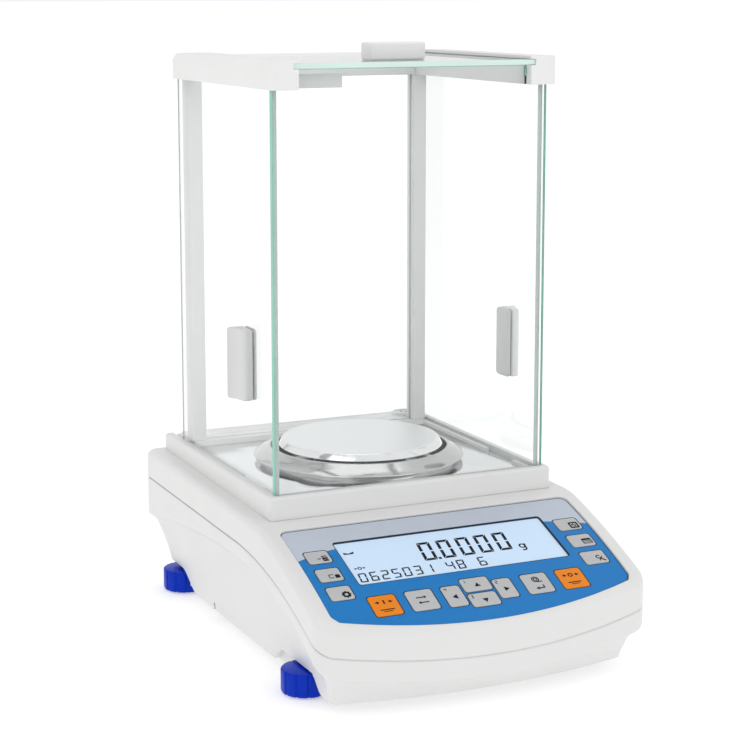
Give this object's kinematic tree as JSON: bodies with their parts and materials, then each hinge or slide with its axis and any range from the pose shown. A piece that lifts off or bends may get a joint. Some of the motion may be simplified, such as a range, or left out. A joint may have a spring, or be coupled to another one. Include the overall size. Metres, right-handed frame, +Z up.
{
  "type": "analytical balance",
  "caption": "Laboratory analytical balance with a round steel pan inside a glass draft shield with sliding doors, a sloped keypad with display, and levelling feet.",
  "frame": {"origin": "centre of the footprint, on the table under the feet", "axes": "+Z up, -Y towards the operator (keypad side), +X to the operator's right"},
  "size_m": [0.206, 0.299, 0.3576],
  "materials": {
    "housing_white": "fine satin moulded ABS",
    "trim_white": "satin",
    "handle_white": "satin",
    "aluminium": "machined",
    "film_blue": "fine-textured polyester film",
    "display": "backlit glass",
    "circuit_board": "solder mask",
    "connector_black": "moulded",
    "connector_steel": "nickel plated",
    "screw_steel": "zinc plated",
    "floor_steel": "satin",
    "glass": "clear float glass with green edges",
    "level": "clear lid over green-yellow liquid",
    "magnet_iron": "plated",
    "coil_copper": "enamelled wire",
    "weight_steel": "polished",
    "pan_steel": "satin top with polished rim",
    "ring_steel": "polished",
    "sole_rubber": "matt",
    "foot_blue": "gloss",
    "key_grey": "embossed film",
    "key_orange": "embossed film"
  },
  "bodies": {
    "root": {"base_housing": "housing_white", "upper_housing": "housing_white", "chamber_frame": "housing_white", "left_post": "trim_white", "right_post": "trim_white", "left_rail": "trim_white", "right_rail": "trim_white", "rear_rail": "trim_white", "glass_clips": "trim_white", "chassis_plate": "aluminium", "cell_frame": "aluminium", "keypad_film": "film_blue", "lcd_module": "display", "key_board": "circuit_board", "main_board": "circuit_board", "dc_inlet": "connector_black", "usb_port": "connector_steel", "serial_port": "connector_steel", "housing_screws": "screw_steel", "floor_plate": "floor_steel", "front_glass": "glass", "rear_glass": "glass", "spirit_level": "level", "magnet": "magnet_iron"},
    "hanger": {"hanger": "aluminium"},
    "pan": {"pan": "pan_steel", "pan_support": "pan_steel"},
    "draft_ring": {"draft_ring": "ring_steel"},
    "beam": {"beam": "aluminium", "coil": "coil_copper"},
    "calibration_weight": {"calibration_weight": "weight_steel"},
    "left_door": {"left_door_glass": "glass", "left_door_handle": "handle_white"},
    "right_door": {"right_door_glass": "glass", "right_door_handle": "handle_white"},
    "top_door": {"top_door_glass": "glass", "top_door_handle": "handle_white"},
    "foot_sole_front_left": {"foot_sole_front_left": "sole_rubber"},
    "foot_knob_front_left": {"foot_knob_front_left": "foot_blue"},
    "foot_sole_front_right": {"foot_sole_front_right": "sole_rubber"},
    "foot_knob_front_right": {"foot_knob_front_right": "foot_blue"},
    "foot_sole_rear_left": {"foot_sole_rear_left": "sole_rubber"},
    "foot_knob_rear_left": {"foot_knob_rear_left": "foot_blue"},
    "foot_sole_rear_right": {"foot_sole_rear_right": "sole_rubber"},
    "foot_knob_rear_right": {"foot_knob_rear_right": "foot_blue"},
    "key_mode": {"key_mode": "key_grey"},
    "key_cal": {"key_cal": "key_grey"},
    "key_setup": {"key_setup": "key_grey"},
    "key_power": {"key_power": "key_grey"},
    "key_database": {"key_database": "key_grey"},
    "key_function": {"key_function": "key_grey"},
    "key_tare": {"key_tare": "key_orange"},
    "key_units": {"key_units": "key_grey"},
    "key_left": {"key_left": "key_grey"},
    "key_up": {"key_up": "key_grey"},
    "key_down": {"key_down": "key_grey"},
    "key_right": {"key_right": "key_grey"},
    "key_print": {"key_print": "key_grey"},
    "key_zero": {"key_zero": "key_orange"}
  },
  "joints": [
    {"name": "pan_load", "type": "slide", "parent": "root", "child": "hanger", "axis": [0, 0, 1], "range_m": [-0.0003, 0.0003], "stiffness_N_per_m": 20000, "springref_m": 0.0001},
    {"name": "pan_lift", "type": "slide", "parent": "hanger", "child": "pan", "axis": [0, 0, 1], "range_m": [0, 0.04]},
    {"name": "ring_lift", "type": "slide", "parent": "root", "child": "draft_ring", "axis": [0, 0, 1], "range_m": [0, 0.03]},
    {"name": "beam_pivot", "type": "hinge", "parent": "root", "child": "beam", "pos_m": [0, 0.0523, 0.048], "axis": [1, 0, 0], "range_deg": [-1.3, 1.3]},
    {"name": "calibration_lift", "type": "slide", "parent": "root", "child": "calibration_weight", "axis": [0, 0, 1], "range_m": [-0.0015, 0]},
    {"name": "left_door_slide", "type": "slide", "parent": "root", "child": "left_door", "axis": [0, 1, 0], "range_m": [0, 0.12]},
    {"name": "right_door_slide", "type": "slide", "parent": "root", "child": "right_door", "axis": [0, 1, 0], "range_m": [0, 0.12]},
    {"name": "top_door_slide", "type": "slide", "parent": "root", "child": "top_door", "axis": [0, 1, 0], "range_m": [0, 0.12]},
    {"name": "foot_height_front_left", "type": "slide", "parent": "root", "child": "foot_sole_front_left", "axis": [0, 0, -1], "range_m": [0, 0.0061]},
    {"name": "foot_turn_front_left", "type": "hinge", "parent": "foot_sole_front_left", "child": "foot_knob_front_left", "pos_m": [-0.0885, -0.0835, 0], "axis": [0, 0, -1], "range_deg": [0, 1440]},
    {"name": "foot_height_front_right", "type": "slide", "parent": "root", "child": "foot_sole_front_right", "axis": [0, 0, -1], "range_m": [0, 0.0061]},
    {"name": "foot_turn_front_right", "type": "hinge", "parent": "foot_sole_front_right", "child": "foot_knob_front_right", "pos_m": [0.0885, -0.0835, 0], "axis": [0, 0, -1], "range_deg": [0, 1440]},
    {"name": "foot_height_rear_left", "type": "slide", "parent": "root", "child": "foot_sole_rear_left", "axis": [0, 0, -1], "range_m": [0, 0.0061]},
    {"name": "foot_turn_rear_left", "type": "hinge", "parent": "foot_sole_rear_left", "child": "foot_knob_rear_left", "pos_m": [-0.0855, 0.125, 0], "axis": [0, 0, -1], "range_deg": [0, 1440]},
    {"name": "foot_height_rear_right", "type": "slide", "parent": "root", "child": "foot_sole_rear_right", "axis": [0, 0, -1], "range_m": [0, 0.0061]},
    {"name": "foot_turn_rear_right", "type": "hinge", "parent": "foot_sole_rear_right", "child": "foot_knob_rear_right", "pos_m": [0.0855, 0.125, 0], "axis": [0, 0, -1], "range_deg": [0, 1440]},
    {"name": "press_mode", "type": "slide", "parent": "root", "child": "key_mode", "axis": [0, 0.3697, -0.9291], "range_m": [0, 0.0004], "stiffness_N_per_m": 300},
    {"name": "press_cal", "type": "slide", "parent": "root", "child": "key_cal", "axis": [0, 0.3697, -0.9291], "range_m": [0, 0.0004], "stiffness_N_per_m": 300},
    {"name": "press_setup", "type": "slide", "parent": "root", "child": "key_setup", "axis": [0, 0.3697, -0.9291], "range_m": [0, 0.0004], "stiffness_N_per_m": 300},
    {"name": "press_power", "type": "slide", "parent": "root", "child": "key_power", "axis": [0, 0.3697, -0.9291], "range_m": [0, 0.0004], "stiffness_N_per_m": 300},
    {"name": "press_database", "type": "slide", "parent": "root", "child": "key_database", "axis": [0, 0.3697, -0.9291], "range_m": [0, 0.0004], "stiffness_N_per_m": 300},
    {"name": "press_function", "type": "slide", "parent": "root", "child": "key_function", "axis": [0, 0.3697, -0.9291], "range_m": [0, 0.0004], "stiffness_N_per_m": 300},
    {"name": "press_tare", "type": "slide", "parent": "root", "child": "key_tare", "axis": [0, 0.3697, -0.9291], "range_m": [0, 0.0004], "stiffness_N_per_m": 300},
    {"name": "press_units", "type": "slide", "parent": "root", "child": "key_units", "axis": [0, 0.3697, -0.9291], "range_m": [0, 0.0004], "stiffness_N_per_m": 300},
    {"name": "press_left", "type": "slide", "parent": "root", "child": "key_left", "axis": [0, 0.3697, -0.9291], "range_m": [0, 0.0004], "stiffness_N_per_m": 300},
    {"name": "press_up", "type": "slide", "parent": "root", "child": "key_up", "axis": [0, 0.3697, -0.9291], "range_m": [0, 0.0004], "stiffness_N_per_m": 300},
    {"name": "press_down", "type": "slide", "parent": "root", "child": "key_down", "axis": [0, 0.3697, -0.9291], "range_m": [0, 0.0004], "stiffness_N_per_m": 300},
    {"name": "press_right", "type": "slide", "parent": "root", "child": "key_right", "axis": [0, 0.3697, -0.9291], "range_m": [0, 0.0004], "stiffness_N_per_m": 300},
    {"name": "press_print", "type": "slide", "parent": "root", "child": "key_print", "axis": [0, 0.3697, -0.9291], "range_m": [0, 0.0004], "stiffness_N_per_m": 300},
    {"name": "press_zero", "type": "slide", "parent": "root", "child": "key_zero", "axis": [0, 0.3697, -0.9291], "range_m": [0, 0.0004], "stiffness_N_per_m": 300}
  ],
  "couplings": [
    {"joint": "beam_pivot", "follows": "pan_load", "rad_per_m": -66.667},
    {"joint": "foot_height_front_left", "follows": "foot_turn_front_left", "m_per_rad": 0.00023873},
    {"joint": "foot_height_front_right", "follows": "foot_turn_front_right", "m_per_rad": 0.00023873},
    {"joint": "foot_height_rear_left", "follows": "foot_turn_rear_left", "m_per_rad": 0.00023873},
    {"joint": "foot_height_rear_right", "follows": "foot_turn_rear_right", "m_per_rad": 0.00023873}
  ]
}
